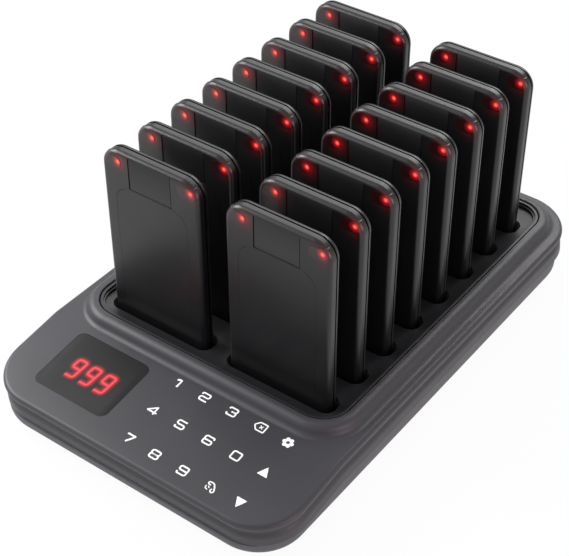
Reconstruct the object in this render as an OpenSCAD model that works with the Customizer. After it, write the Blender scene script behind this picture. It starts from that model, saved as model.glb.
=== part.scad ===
// Guest pager system: a charging base with a sloped keypad deck and two
// files of eight slim pagers that stand in a tray of slots.
// Axes: +X to the right, +Y to the rear, +Z up. The origin is the middle of
// the base on the surface that its rubber feet stand on.

/* [Pager] */
// Width of a pager
pager_w = 54; // [52:0.5:56]
// Height of a pager from its bottom edge to its top edge
pager_h = 104; // [98:1:110]
// Thickness of a pager over both covers
pager_t = 7.6; // [7.2:0.1:8.2]
// Radius of a pager's four corners, seen from the front
pager_corner = 9.5; // [8:0.5:11]
// Radius that rounds the long edges of both covers
pager_edge = 2.2; // [1.6:0.1:2.4]
// Distance from the front face to the line where the covers meet
cover_split = 4.8; // [4.5:0.1:5]
// Thickness of the covers' faces
cover_face = 1.3; // [1:0.1:1.4]
// Thickness of the covers' rims
cover_rim = 1.6; // [1.2:0.1:1.8]
// Height of a lamp lens
lamp_h = 6; // [5:0.5:7]
// Width of a lamp lens
lamp_w = 10.6; // [9:0.2:12]
// Drop from the pager's top edge to the middle of a lamp lens
lamp_drop = 5.6; // [5:0.2:6.4]
// Half the width of the label panel's neck
neck_half = 11.8; // [10:0.2:13]
// Half the width of the label panel's body
panel_half = 20.1; // [18:0.1:21]
// Drop from the pager's top edge to the label panel's body
panel_drop = 18.2; // [16:0.2:21]
// Depth that the label panel is sunk into the front cover
panel_sink = 0.4; // [0.2:0.05:0.5]

/* [Slots] */
// Spacing of the two files of pagers, middle to middle
pitch_x = 67.9; // [66:0.1:72]
// Spacing of the pagers in one file
pitch_y = 22.6; // [21:0.1:26]
// How deep a pager stands below the tray's surface
slot_depth = 14.2; // [12:0.2:15]
// Play between a pager and its slot on every side
slot_play = 0.4; // [0.3:0.05:0.6]
// How much wider the slot's mouth is than its well, on every side
mouth_flare = 1.9; // [1.2:0.1:2]
// Depth of the flared mouth
mouth_depth = 3.4; // [2.4:0.2:4]
// Width of tray outside the slots' mouths, at each side
tray_side = 6.1; // [5:0.1:9]
// Width of tray in front of the first slots' mouths
tray_front = 7.1; // [5:0.1:10]
// Width of tray behind the last slots' mouths
tray_back = 12.5; // [8:0.1:16]
// Radius of the tray's corners
tray_corner = 13.4; // [11:0.2:16]

/* [Base] */
// Height of the level deck above the surface the base stands on
deck_h = 30; // [28:0.5:34]
// Angle at which the keypad deck slopes down to the front
deck_slope = 7.7; // [5:0.1:9]
// Length of the keypad deck along its slope, from the bend to the front edge
keypad_len = 49.5; // [48:0.5:60]
// Height of the lip round the tray above the deck
lip_h = 5.5; // [4:0.5:6]
// Width of deck from the tray's opening to the side of the base
deck_side = 11.9; // [11.7:0.1:16]
// Distance from the tray's opening forward to the bend in the deck
bend_gap = 9; // [9:0.5:14]
// Height of the upper shell's side band, from the deck to the seam
band_h = 13; // [12:0.5:14]
// Radius of the base's front corners
corner_front = 23; // [20:1:30]
// Radius of the base's rear corners
corner_rear = 27; // [22:1:34]
// Wall thickness of both shells
wall = 2.4; // [2:0.1:2.8]
// How far the rubber feet hold the lower shell off the table
foot_lift = 2.5; // [1.5:0.1:3.5]
// Radius of a rubber foot
foot_r = 8; // [6:0.5:9]

/* [Keypad] */
// Width of the display window
window_w = 42.5; // [38:0.5:46]
// Height of the display window along the slope
window_h = 34.2; // [30:0.2:35]
// Distance from the middle of the base to the middle of the window, leftwards
window_off = 40.7; // [39:0.1:44]
// Thickness of the display window
window_t = 1.5; // [1.2:0.1:1.6]

/* [Power] */
// Radius of the power inlet's hole in the rear wall
inlet_r = 3.4; // [3:0.1:4]
// Distance of the power inlet from the middle of the rear wall
inlet_x = 38; // [20:1:45]

/* [Hidden] */

$fn = 64;
rows = 8;

// lengths are kept to a thousandth of a millimetre, so that pieces of one
// body that are worked out in different ways meet exactly
function mm(x) = round(x * 1000) / 1000;

// --- heights ---
tray_z = deck_h + lip_h - 3.3;
tray_rim_z = deck_h + lip_h - 0.5;
pager_z = tray_z - slot_depth;
tray_plate = 2;
well_floor_z = pager_z;
well_floor_t = 1.4;
board_t = 1.6;
pin_stand = 3.1;
board_z = well_floor_z - well_floor_t - pin_stand;
floor_z = foot_lift;
floor_top = floor_z + wall;

// --- side band of the upper shell, as outward offset and depth below deck ---
edge_r = 2.2;
groove_r = 2.2;
swell_r = 4;
turn_a = 50;
rise_a = 40;
edge_c = [-1.8, -edge_r];
groove_c = edge_c + (edge_r + groove_r) * [cos(turn_a), -sin(turn_a)];
swell_c = groove_c - (groove_r + swell_r) * [cos(rise_a), sin(rise_a)];
swell_o = mm(swell_c[0] + swell_r);

function arc(c, r, a0, a1, n) =
    [for (i = [0 : n]) let (a = a0 + (a1 - a0) * i / n)
        [mm(c[0] + r * cos(a)), mm(c[1] + r * sin(a))]];

function band_outline() = concat(
    arc(edge_c, edge_r, 90, -turn_a, 12),
    arc(groove_c, groove_r, 180 - turn_a + 12, 180 + rise_a - 12, 8),
    arc(swell_c, swell_r, rise_a, 0, 5),
    [[swell_o + 0.3, -band_h + 0.4], [swell_o, -band_h]]
);

// --- plan ---
well_w = pager_w + 2 * slot_play;
well_t = pager_t + 2 * slot_play;
well_r = 3.2;
mouth_w = well_w + 2 * mouth_flare;
mouth_t = well_t + 2 * mouth_flare;
tray_hw = pitch_x / 2 + mouth_w / 2 + tray_side;
file_len = (rows - 1) * pitch_y + mouth_t;
tray_len = file_len + tray_front + tray_back;
tray_gap = 0.6;
open_hw = tray_hw + tray_gap;
open_len = tray_len + 2 * tray_gap;
open_r = tray_corner + tray_gap;
base_hw = open_hw + deck_side;
rear_gap = deck_side + 1;
keypad_run = mm(keypad_len * cos(deck_slope));
front_run = bend_gap + keypad_run;
base_len = front_run + open_len + rear_gap;
// the band overhangs the rear more than the sloped front; the base is moved
// by half the difference, so that the origin is the middle of its extents
rear_over = max([for (p = band_outline()) p[0]]);
front_over = max([for (p = band_outline())
    p[0] * cos(deck_slope) + p[1] * sin(deck_slope)]);
centre_y = (front_over - rear_over) / 2;
base_rear = mm(base_len / 2 + centre_y);
base_front = base_rear - base_len;
bend_y = base_front + keypad_run;
level_front = bend_y - keypad_len;
open_front = bend_y + bend_gap;
open_rear = open_front + open_len;
tray_y0 = open_front + tray_gap;
tray_y1 = tray_y0 + tray_len;
row_y0 = tray_y0 + tray_front + mouth_t / 2;

// lower shell, as outward offset and height above the surface
hull_inset = 1.2;
function hull_outline(top) = concat(
    [[0, top], [0, floor_z + 7.6]],
    arc([-7, floor_z + 7], 7, 0, -90, 10)
);

// lip round the tray, as distance from the opening and height above deck:
// a round shoulder that runs into a hollow, both with one common tangent
lip_flat = 1.5;
shoulder_r = 4.2;
hollow_r = 3.4;
lip_turn = acos(1 - lip_h / (shoulder_r + hollow_r));
lip_reach = mm(lip_flat + (shoulder_r + hollow_r) * sin(lip_turn));
lip_sink = 0.03;
function lip_outline() = concat(
    [[0, lip_h - 0.3], [0.4, lip_h]],
    arc([lip_flat, lip_h - shoulder_r], shoulder_r, 90, 90 - lip_turn, 6),
    arc([lip_reach, hollow_r - lip_sink], hollow_r,
        270 - lip_turn + 12, 270, 5),
    [[lip_reach, -1]]
);

// --- corners of the base's plan ---
function shift(pts, dx, dz) = [for (p = pts) [p[0] + dx, p[1] + dz]];
function flip(pts) = [for (i = [len(pts) - 1 : -1 : 0]) [-pts[i][0], pts[i][1]]];

module plan_rect(hw, y0, y1, rf, rr) {
    // rounded rectangle with its own front and rear corner radii
    union() {
        translate([-hw, y0 + rf]) square([2 * hw, y1 - y0 - rf - rr]);
        translate([-hw + rf, y0]) square([2 * (hw - rf), y1 - y0 - rr]);
        translate([-hw + rr, y0 + rf]) square([2 * (hw - rr), y1 - y0 - rf]);
        for (s = [-1, 1]) {
            translate([s * (hw - rf), y0 + rf]) circle(r = rf);
            translate([s * (hw - rr), y1 - rr]) circle(r = rr);
        }
    }
}

module plan_box(hw, y0, y1, rf, rr, z0, z1) {
    translate([0, 0, z0])
        linear_extrude(height = z1 - z0)
            plan_rect(hw, y0, y1, rf, rr);
}

module turned_block(pts, hw, y0, y1, rf, rr) {
    // solid whose side wall follows pts (offset, height) all the way round;
    // pts run from the top down
    top = pts[0][1];
    low = pts[len(pts) - 1][1];
    across = concat(shift(pts, hw, 0), shift(flip(pts), -hw, 0));
    translate([0, y1 - rr, 0])
        rotate([90, 0, 0])
            linear_extrude(height = y1 - y0 - rf - rr)
                polygon(across);
    for (e = [[y0, rf, 0], [y1, rr, 180]])
        translate([0, e[0], 0])
            rotate([0, 0, e[2]])
                translate([-hw + e[1], 0, 0])
                    rotate([90, 0, 90])
                        linear_extrude(height = 2 * (hw - e[1]))
                            polygon(concat(
                                [[e[1] + 4, top]],
                                [for (p = pts) [-p[0], p[1]]],
                                [[e[1] + 4, low]]
                            ));
    for (s = [-1, 1]) {
        translate([s * (hw - rf), y0 + rf, 0])
            rotate([0, 0, s > 0 ? -90 : 180])
                quarter_turn(pts, rf);
        translate([s * (hw - rr), y1 - rr, 0])
            rotate([0, 0, s > 0 ? 0 : 90])
                quarter_turn(pts, rr);
    }
}

module quarter_turn(pts, r) {
    rotate_extrude(angle = 90, $fn = 96)
        polygon(concat(
            [[0, pts[0][1]]],
            shift(pts, r, 0),
            [[0, pts[len(pts) - 1][1]]]
        ));
}

// --- the bend between the level deck and the keypad deck ---
// The keypad deck is the mirror image, in the plane that halves the bend, of
// a level block of the same section. Both halves are made against that plane
// and then turned back together, so their sections are the same there.
module tilted() {
    translate([0, bend_y, deck_h])
        rotate([deck_slope, 0, 0])
            translate([0, -bend_y, -deck_h])
                children();
}

// size of a block that is sure to hold half of the base
far = base_len + base_hw;

module half_turned() {
    intersection() {
        rotate([-deck_slope / 2, 0, 0])
            translate([0, -bend_y, -deck_h])
                children();
        translate([-far, 0, -far])
            cube([2 * far, 2 * far, 2 * far]);
    }
}

module turned_back() {
    translate([0, bend_y, deck_h])
        rotate([deck_slope / 2, 0, 0])
            children();
}

// length of a block that reaches over the bend before it is cut there
reach = 40;

module bent_block(pts, hw, rear, rear_r, run, front_r) {
    half_turned()
        turned_block(pts, hw, bend_y - reach, rear, rear_r, rear_r);
    mirror([0, 1, 0])
        half_turned()
            turned_block(pts, hw, bend_y - reach, bend_y + run,
                front_r, front_r);
}

module bent_box(hw, rear, rear_r, run, front_r, z0, z1) {
    half_turned()
        plan_box(hw, bend_y - reach, rear, rear_r, rear_r, z0, z1);
    mirror([0, 1, 0])
        half_turned()
            plan_box(hw, bend_y - reach, bend_y + run, front_r, front_r,
                z0, z1);
}

// everything above the bent plane that lies this far below the deck
module above_deck(depth) {
    module slice() {
        translate([-far, level_front - far, deck_h - depth])
            cube([2 * far, base_len + 2 * far, far]);
    }
    slice();
    tilted() slice();
}

// ------------------------------------------------------------- base shells
window_y = level_front + keypad_len / 2 + 4.4;
window_corner = 4;
window_play = 0.1;
window_seat = 2;
seat_corner = 2.5;
boss_r = 3.3;
boss_step = 0.4;
screw_r = 1.5;
pilot_r = screw_r - 0.25;
head_r = 2.7;
head_t = 2.4;
head_sink = 1;
driver_r = 1.1;
skin = wall + 1.2;
boss_x = open_hw - 0.6;
boss_ys = [bend_y - 2, (open_front + open_rear) / 2 - 16, open_rear - 32];
boss_seat = floor_top + 4.6;
screw_bite = 9;
boss_pilot = screw_bite + 2;
ledge_z = tray_rim_z - 8;
ledge_w = 3;

// bosses in front of the tray rise into the deck, the others into the ledge
function boss_roof(y) = y < open_front ? deck_h + 4 : ledge_z - 0.4;

module screw_spots() {
    for (s = [-1, 1], y = boss_ys)
        translate([s * boss_x, y, 0]) children();
}

module lip_ring() {
    // the raised lip: its cross-section carried round the opening
    pts = [for (p = lip_outline()) [p[0], p[1] + deck_h]];
    difference() {
        turned_block(
            [for (p = pts) [p[0], p[1]]],
            open_hw, open_front, open_rear, open_r, open_r
        );
        plan_box(open_hw, open_front, open_rear, open_r, open_r,
            deck_h - 1, deck_h + lip_h + 1);
    }
}

module window_cut(grow, r, z0, z1) {
    // the window's rounded outline, grown all round, in the level frame
    hw = window_w / 2 + grow;
    hl = window_h / 2 + grow;
    translate([-window_off, window_y, 0])
        plan_box(hw, -hl, hl, r, r, z0, z1);
}

module top_shell() {
    color("#4b4a4f")
    difference() {
        union() {
            turned_back()
                difference() {
                    bent_block(shift(band_outline(), 0, deck_h), base_hw,
                        base_rear, corner_rear, keypad_len, corner_front);
                    // hollow under the deck and inside the band
                    bent_box(base_hw - skin, base_rear - skin,
                        corner_rear - skin, keypad_len - skin,
                        corner_front - skin,
                        deck_h - band_h - 1, deck_h - wall);
                }
            lip_ring();
        }
        // opening for the tray
        plan_box(open_hw, open_front, open_rear, open_r, open_r,
            deck_h - wall - 1, deck_h + lip_h + 1);
        // seat and light opening of the display window
        tilted()
            window_cut(window_play, window_corner + window_play,
                deck_h - window_t - window_play, deck_h + 2);
        tilted()
            window_cut(-window_seat, seat_corner,
                deck_h - wall - 1, deck_h + 2);
    }
    // ledge that carries the tray's edge
    color("#4b4a4f")
    difference() {
        plan_box(open_hw + 1.6, open_front - 1.6, open_rear + 1.6,
            open_r + 1.6, open_r + 1.6, ledge_z - 1.8, deck_h - wall + 0.2);
        plan_box(open_hw, open_front, open_rear, open_r, open_r,
            ledge_z, deck_h);
        plan_box(open_hw - ledge_w, open_front + ledge_w,
            open_rear - ledge_w, open_r - ledge_w, open_r - ledge_w,
            ledge_z - 3, deck_h);
    }
    // screw bosses under the deck
    color("#4b4a4f")
    difference() {
        for (s = [-1, 1], y = boss_ys)
            translate([s * boss_x, y, boss_seat])
                cylinder(r = boss_r, h = boss_roof(y) - boss_seat);
        above_deck(0.6);
        screw_spots()
            translate([0, 0, boss_seat - 1])
                cylinder(r = pilot_r, h = boss_pilot + 1);
    }
}

module bottom_shell() {
    color("#5c5b60")
    difference() {
        turned_block(hull_outline(deck_h),
            base_hw - hull_inset, base_front + 0.4, base_rear - hull_inset,
            corner_front, corner_rear - hull_inset);
        plan_box(base_hw - hull_inset - wall, base_front + 0.4 + wall,
            base_rear - hull_inset - wall,
            corner_front - wall, corner_rear - hull_inset - wall,
            floor_top, deck_h + 1);
        above_deck(band_h);
        // recesses for the feet
        foot_spots()
            translate([0, 0, floor_z - 1])
                cylinder(r = foot_r + 0.1, h = 1.8);
        // screw holes
        screw_spots() {
            translate([0, 0, floor_z - 1])
                cylinder(r = head_r + 0.3, h = 1 + head_sink + head_t);
            cylinder(r = screw_r + 0.2, h = boss_seat + boss_pilot);
        }
        // hole for the power plug
        translate([inlet_x, base_rear - 12, inlet_z])
            rotate([-90, 0, 0])
                cylinder(r = inlet_r, h = 20);
    }
    // bosses that the screws pass through
    color("#5c5b60")
    screw_spots()
        difference() {
            translate([0, 0, floor_z + 0.4])
                cylinder(r = boss_r + boss_step, h = boss_seat - floor_z - 0.4);
            translate([0, 0, floor_z - 1])
                cylinder(r = head_r + 0.3, h = 1 + head_sink + head_t);
            cylinder(r = screw_r + 0.2, h = boss_seat + boss_pilot);
        }
    // posts under the charging board
    color("#5c5b60")
    post_spots()
        translate([0, 0, floor_top - 0.4])
            cylinder(r = post_r, h = board_z - floor_top + 0.4);
    // locating pins through the charging board
    color("#5c5b60")
    post_spots()
        translate([0, 0, board_z - 0.2])
            cylinder(r = post_pin_r, h = board_t + 0.6);
}

inlet_z = floor_top + 7.4;

module foot_spots() {
    for (s = [-1, 1])
        for (y = [base_front + 24, base_rear - 25])
            translate([s * (base_hw - 22), y, 0]) children();
}

module rubber_feet() {
    color("#1d1d1f")
    foot_spots() {
        cylinder(r1 = foot_r - 0.8, r2 = foot_r, h = 0.8);
        translate([0, 0, 0.8])
            cylinder(r = foot_r, h = floor_z);
    }
}

module case_screws() {
    color("#8d8f93")
    screw_spots()
        difference() {
            union() {
                translate([0, 0, floor_z + head_sink])
                    cylinder(r = head_r, h = head_t);
                translate([0, 0, floor_z + head_sink + head_t - 0.4])
                    cylinder(r = pilot_r,
                        h = boss_seat + screw_bite
                            - floor_z - head_sink - head_t + 0.4);
            }
            translate([0, 0, floor_z])
                cylinder(r = driver_r, h = head_sink + head_t / 2);
        }
}

// -------------------------------------------------------------- slot tray
module slot_spots() {
    for (row = [0 : rows - 1], s = [-1, 1])
        translate([s * pitch_x / 2, row_y0 + row * pitch_y, 0])
            children();
}

module rounded_post(w, t, r, h) {
    plan_box(w / 2, -t / 2, t / 2, r, r, 0, h);
}

module mouth_cut() {
    // flared mouth: four corner cones joined by two wedges
    hx = well_w / 2 - well_r;
    hy = well_t / 2 - well_r;
    top = mouth_depth + 0.6;
    flare = mm(mouth_flare * top / mouth_depth);
    for (sx = [-1, 1], sy = [-1, 1])
        translate([sx * hx, sy * hy, 0])
            cylinder(r1 = well_r, r2 = well_r + flare, h = top);
    translate([0, hy, 0])
        rotate([90, 0, 0])
            linear_extrude(height = 2 * hy)
                polygon([
                    [-hx - well_r, 0], [hx + well_r, 0],
                    [hx + well_r + flare, top], [-hx - well_r - flare, top]
                ]);
    translate([-hx, 0, 0])
        rotate([90, 0, 90])
            linear_extrude(height = 2 * hx)
                polygon([
                    [-hy - well_r, 0], [hy + well_r, 0],
                    [hy + well_r + flare, top], [-hy - well_r - flare, top]
                ]);
}

module slot_tray() {
    rim_w = 1.3;
    dish = 1.6;
    color("#2b2b2e")
    difference() {
        union() {
            plan_box(tray_hw, tray_y0, tray_y1, tray_corner, tray_corner,
                tray_z - tray_plate, tray_rim_z);
            // skirt that stands on the shell's ledge
            difference() {
                plan_box(tray_hw, tray_y0, tray_y1, tray_corner,
                    tray_corner, ledge_z, tray_z);
                plan_box(tray_hw - 1.8, tray_y0 + 1.8, tray_y1 - 1.8,
                    tray_corner - 1.8, tray_corner - 1.8,
                    ledge_z - 1, tray_z + 1);
            }
            slot_spots()
                translate([0, 0, well_floor_z - well_floor_t])
                    rounded_post(well_w + 3, well_t + 3, well_r + 1.5,
                        tray_z - well_floor_z + well_floor_t - 0.5);
        }
        // dished surface inside a narrow rim
        plan_box(tray_hw - rim_w, tray_y0 + rim_w, tray_y1 - rim_w,
            tray_corner - rim_w, tray_corner - rim_w,
            tray_z + dish, tray_rim_z + 1);
        plan_box(tray_hw - rim_w - 0.8, tray_y0 + rim_w + 0.8,
            tray_y1 - rim_w - 0.8, tray_corner - rim_w - 0.8,
            tray_corner - rim_w - 0.8, tray_z, tray_rim_z + 1);
        slot_spots() {
            translate([0, 0, well_floor_z])
                rounded_post(well_w, well_t, well_r, slot_depth + 1);
            translate([0, 0, tray_z - mouth_depth])
                mouth_cut();
            for (s = [-1, 1])
                translate([s * pad_x, pad_y, well_floor_z - 4])
                    cylinder(r = 2, h = 8);
        }
    }
}

// ---------------------------------------------------- display and boards
// size of the digit module, and how far its face lies below the deck
display_w = 34;
display_l = 19;
display_t = 8;
display_sink = 3;
flange_side = 3;
flange_end = 2;
flange_t = 1.4;
keys_hw = 64;
keys_front = 8;
keys_rear = 4;

module display_window() {
    color("#26262a")
    tilted()
        window_cut(0, window_corner,
            deck_h - window_t - window_play, deck_h - window_play);
}

module display_module() {
    top = deck_h - display_sink;
    color("#3a0d0f")
    tilted()
        translate([-window_off, window_y, 0])
            union() {
                translate([-display_w / 2, -display_l / 2, top - display_t])
                    cube([display_w, display_l, display_t]);
                translate([
                    -display_w / 2 - flange_side,
                    -display_l / 2 - flange_end,
                    deck_h - wall - board_t - flange_t - 0.1
                ])
                    cube([
                        display_w + 2 * flange_side,
                        display_l + 2 * flange_end,
                        flange_t
                    ]);
            }
}

module keypad_board() {
    top = deck_h - wall - 0.1;
    color("#1f5134")
    tilted()
        difference() {
            translate([-keys_hw, level_front + keys_front, top - board_t])
                cube([
                    2 * keys_hw,
                    keypad_len - keys_front - keys_rear,
                    board_t
                ]);
            translate([-window_off - display_w / 2 - 0.2,
                window_y - display_l / 2 - 0.2, top - board_t - 1])
                cube([display_w + 0.4, display_l + 0.4, board_t + 2]);
        }
}

board_hw = 62;
board_front = 12;
board_rear = 14.5;
board_play = 0.5;
board_y0 = row_y0 - board_front;
board_y1 = row_y0 + (rows - 1) * pitch_y + board_rear;
post_r = 3.5;
post_pin_r = 1.4;
post_side = 5;
post_end = 4.4;

module post_spots() {
    ends = [board_y0 + post_end, board_y1 - post_end];
    for (s = [-1, 1])
        for (y = [ends[0], (ends[0] + ends[1]) / 2, ends[1]])
            translate([s * (board_hw - post_side), y, 0]) children();
}

module charging_board() {
    color("#1f5134")
    difference() {
        translate([-board_hw, board_y0, board_z])
            cube([2 * board_hw, board_y1 - board_y0, board_t]);
        post_spots()
            translate([0, 0, board_z - 1])
                cylinder(r = post_pin_r + 0.2, h = board_t + 2);
        // room round the screw bosses, for a board that reaches them
        screw_spots()
            translate([0, 0, board_z - 1])
                cylinder(r = boss_r + boss_step + board_play, h = board_t + 2);
    }
}

pad_x = 9;
pad_lift = 0.1;
pad_y = cover_split - pager_t / 2 - 0.75;

module charge_contacts() {
    color("#c9a24a")
    slot_spots()
        for (s = [-1, 1])
            translate([s * pad_x, pad_y, board_z + board_t]) {
                cylinder(r = 1.6, h = pin_stand - board_t + 0.8);
                cylinder(r = 0.8, h = pager_z + pad_lift - board_z - board_t);
            }
}

module dc_jack() {
    depth = 12;
    hw = 4.6;
    pin_r = 1;
    back_t = 3;
    face_y = base_rear - hull_inset - wall;
    color("#161617")
    difference() {
        translate([inlet_x - hw, face_y - depth, floor_top])
            cube([2 * hw, depth, inlet_z - floor_top + hw]);
        translate([inlet_x, face_y - depth + back_t, inlet_z])
            rotate([-90, 0, 0])
                cylinder(r = inlet_r - 0.3, h = depth);
    }
    color("#b9bbc0")
    translate([inlet_x, face_y - depth + back_t - 0.5, inlet_z])
        rotate([-90, 0, 0])
            cylinder(r = pin_r, h = depth - back_t - 1);
}

module antenna() {
    // wound ferrite rod between two holders that stand on the board
    rod_r = 2.4;
    rod_x = -45;
    rod_len = 58;
    color("#8a6a3a")
    translate([0, board_y1 - 3.4, board_z + board_t])
        union() {
            translate([rod_x, 0, rod_r + 0.3])
                rotate([0, 90, 0])
                    cylinder(r = rod_r, h = rod_len);
            for (x = [rod_x - 1, rod_x + rod_len - 2])
                translate([x, -rod_r - 0.4, 0])
                    cube([3, 2 * rod_r + 0.8, 2 * rod_r + 0.7]);
        }
}

// ------------------------------------------------------------------ pager
// Local frame: x across, y through the thickness with the front face at
// -pager_t/2, z up from the bottom edge.
module slab_edge(grow, half_t) {
    // cross-section of the rounded rim, as a revolve's outline
    r = pager_edge + grow;
    square([pager_corner + grow - r, 2 * half_t]);
    translate([0, r]) square([pager_corner + grow, 2 * (half_t - r)]);
    for (z = [r, 2 * half_t - r])
        translate([pager_corner + grow - r, z]) circle(r = r);
}

module slab(grow) {
    // rounded slab: turned corners, extruded sides and a flat middle
    half_t = pager_t / 2 + grow;
    hx = pager_w / 2 - pager_corner;
    z0 = pager_corner;
    z1 = pager_h - pager_corner;
    r = pager_edge + grow;
    out = pager_corner + grow;
    for (s = [[hx, z1, 0], [-hx, z1, 90], [-hx, z0, 180], [hx, z0, 270]])
        translate([s[0], half_t, s[1]])
            rotate([90, 0, 0])
                rotate([0, 0, s[2]])
                    rotate_extrude(angle = 90)
                        intersection() {
                            slab_edge(grow, half_t);
                            square([pager_w, pager_w]);
                        }
    // sides
    translate([0, 0, z0])
        linear_extrude(height = z1 - z0)
            union() {
                translate([-hx - out, -half_t + r])
                    square([2 * (hx + out), 2 * (half_t - r)]);
                translate([-hx - out + r, -half_t])
                    square([2 * (hx + out - r), 2 * half_t]);
                for (sx = [-1, 1], sy = [-1, 1])
                    translate([sx * (hx + out - r), sy * (half_t - r)])
                        circle(r = r);
            }
    // top and bottom
    translate([-hx, 0, 0])
        rotate([90, 0, 90])
            linear_extrude(height = 2 * hx)
                union() {
                    translate([-half_t + r, -grow])
                        square([2 * (half_t - r), pager_h + 2 * grow]);
                    translate([-half_t, -grow + r])
                        square([2 * half_t, pager_h + 2 * grow - 2 * r]);
                    for (sy = [-1, 1], z = [-grow + r, pager_h + grow - r])
                        translate([sy * (half_t - r), z])
                            circle(r = r);
                }
}

split_y = cover_split - pager_t / 2;
front_y = -pager_t / 2;
back_y = pager_t / 2;
cell_t = 0.8;
battery_w = 32;
battery_l = 44;
battery_z = 22;
motor_r = 5;
motor_t = 2.6;
motor_z = battery_z + battery_l + 12;
lamp_x = pager_w / 2 - 5.8;

module face_plan(inset, r) {
    // the pager's outline as a face plan, inset all round
    x = pager_w / 2 - inset;
    z0 = inset;
    z1 = pager_h - inset;
    union() {
        translate([-x + r, z0]) square([2 * (x - r), z1 - z0]);
        translate([-x, z0 + r]) square([2 * x, z1 - z0 - 2 * r]);
        for (sx = [-1, 1], z = [z0 + r, z1 - r])
            translate([sx * (x - r), z]) circle(r = r);
    }
}

module through(y0, y1) {
    // carries a face plan through the thickness from y0 to y1
    translate([0, y1, 0])
        rotate([90, 0, 0])
            linear_extrude(height = y1 - y0)
                children();
}

module lamp_plan(grow) {
    r = lamp_h / 2 + grow;
    run = lamp_w / 2 - lamp_h / 2;
    for (s = [-1, 1])
        translate([s * lamp_x, pager_h - lamp_drop])
            union() {
                translate([-run, -r]) square([2 * run, 2 * r]);
                translate([-run, 0]) circle(r = r);
                translate([run, 0]) circle(r = r);
            }
}

module label_plan() {
    // bottle-shaped label panel: body with round shoulders
    shoulder = 8.1;
    foot = 4;
    top = pager_h - panel_drop;
    low = slot_depth - 6;
    union() {
        translate([-panel_half, low + foot])
            square([2 * panel_half, top - low - foot - shoulder]);
        translate([-panel_half + shoulder, low + foot])
            square([2 * (panel_half - shoulder), top - low - foot]);
        translate([-panel_half + foot, low])
            square([2 * (panel_half - foot), foot + 1]);
        for (s = [-1, 1]) {
            translate([s * (panel_half - shoulder), top - shoulder])
                circle(r = shoulder);
            translate([s * (panel_half - foot), low + foot])
                circle(r = foot);
        }
    }
}

module pager_front_cover() {
    color("#17171a")
    difference() {
        slab(0);
        // everything behind the parting line
        translate([-pager_w, split_y, -1])
            cube([2 * pager_w, pager_t, pager_h + 2]);
        // fine step at the parting line that reads as the dark seam
        through(split_y - 0.35, split_y + 1)
            difference() {
                face_plan(-1, pager_corner + 1);
                face_plan(0.4, pager_corner - 0.4);
            }
        // hollow
        through(front_y + cover_face, split_y + 1)
            face_plan(cover_rim, pager_corner - cover_rim);
        // label panel and its neck
        through(front_y - 1, front_y + panel_sink)
            label_plan();
        translate([-neck_half, front_y - 1, pager_h - panel_drop + 0.5])
            cube([2 * neck_half, 1 + panel_sink * 0.6, panel_drop + 1]);
        // lamp openings
        through(front_y - 1, front_y + 3.3)
            lamp_plan(0.06);
        // notches for the charge pads
        for (s = [-1, 1])
            translate([s * pad_x - 3.3, pad_y - 0.8, -1])
                cube([6.6, 4, 4]);
    }
    // posts that the board rests on
    color("#17171a")
    for (s = [-1, 1], z = [12, pager_h - 24])
        translate([s * 18, split_y, z])
            rotate([90, 0, 0])
                cylinder(r = 1.6, h = cover_split - cover_face + 0.3);
}

module pager_back_cover() {
    color("#1b1b1e")
    difference() {
        slab(0);
        translate([-pager_w, split_y - pager_t, -1])
            cube([2 * pager_w, pager_t, pager_h + 2]);
        through(split_y - 1, back_y - cover_face)
            face_plan(cover_rim, pager_corner - cover_rim);
    }
}

module pager_core() {
    inner = cover_rim + 0.3;
    color("#d2141e")
    union() {
        // circuit board
        through(split_y, split_y + cell_t)
            face_plan(inner, pager_corner - inner);
        // battery and vibration motor on its front
        translate([-battery_w / 2, front_y + cover_face + 0.1, battery_z])
            cube([battery_w, split_y - front_y - cover_face, battery_l]);
        translate([0, split_y + 0.2, motor_z])
            rotate([90, 0, 0])
                cylinder(r = motor_r, h = motor_t + 0.2);
        // light guides that end as the two lamp lenses
        intersection() {
            slab(0.15);
            through(front_y - 1, front_y + 3.1)
                lamp_plan(0);
        }
        for (s = [-1, 1])
            translate([s * (lamp_x - 1.6), split_y + 0.2,
                pager_h - lamp_drop])
                rotate([90, 0, 0])
                    cylinder(r = 2, h = split_y - front_y - 2.6);
        // charge pads
        for (s = [-1, 1])
            translate([s * pad_x - 3, pad_y - 0.5, pad_lift])
                cube([6, 1.1, 4]);
        for (s = [-1, 1])
            translate([s * pad_x - 3, pad_y - 0.5, 2.2])
                cube([6, 1.8, 1.9]);
    }
}

// Pagers count from the front right, right then left in each row.
module place(n) {
    side = n % 2 == 1 ? 1 : -1;
    row = floor((n - 1) / 2);
    translate([side * pitch_x / 2, row_y0 + row * pitch_y, pager_z])
        children();
}

place(1) pager_front_cover();  // pager_01_front_cover
place(1) pager_back_cover();  // pager_01_back_cover
place(1) pager_core();  // pager_01_core
place(2) pager_front_cover();  // pager_02_front_cover
place(2) pager_back_cover();  // pager_02_back_cover
place(2) pager_core();  // pager_02_core
place(3) pager_front_cover();  // pager_03_front_cover
place(3) pager_back_cover();  // pager_03_back_cover
place(3) pager_core();  // pager_03_core
place(4) pager_front_cover();  // pager_04_front_cover
place(4) pager_back_cover();  // pager_04_back_cover
place(4) pager_core();  // pager_04_core
place(5) pager_front_cover();  // pager_05_front_cover
place(5) pager_back_cover();  // pager_05_back_cover
place(5) pager_core();  // pager_05_core
place(6) pager_front_cover();  // pager_06_front_cover
place(6) pager_back_cover();  // pager_06_back_cover
place(6) pager_core();  // pager_06_core
place(7) pager_front_cover();  // pager_07_front_cover
place(7) pager_back_cover();  // pager_07_back_cover
place(7) pager_core();  // pager_07_core
place(8) pager_front_cover();  // pager_08_front_cover
place(8) pager_back_cover();  // pager_08_back_cover
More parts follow.
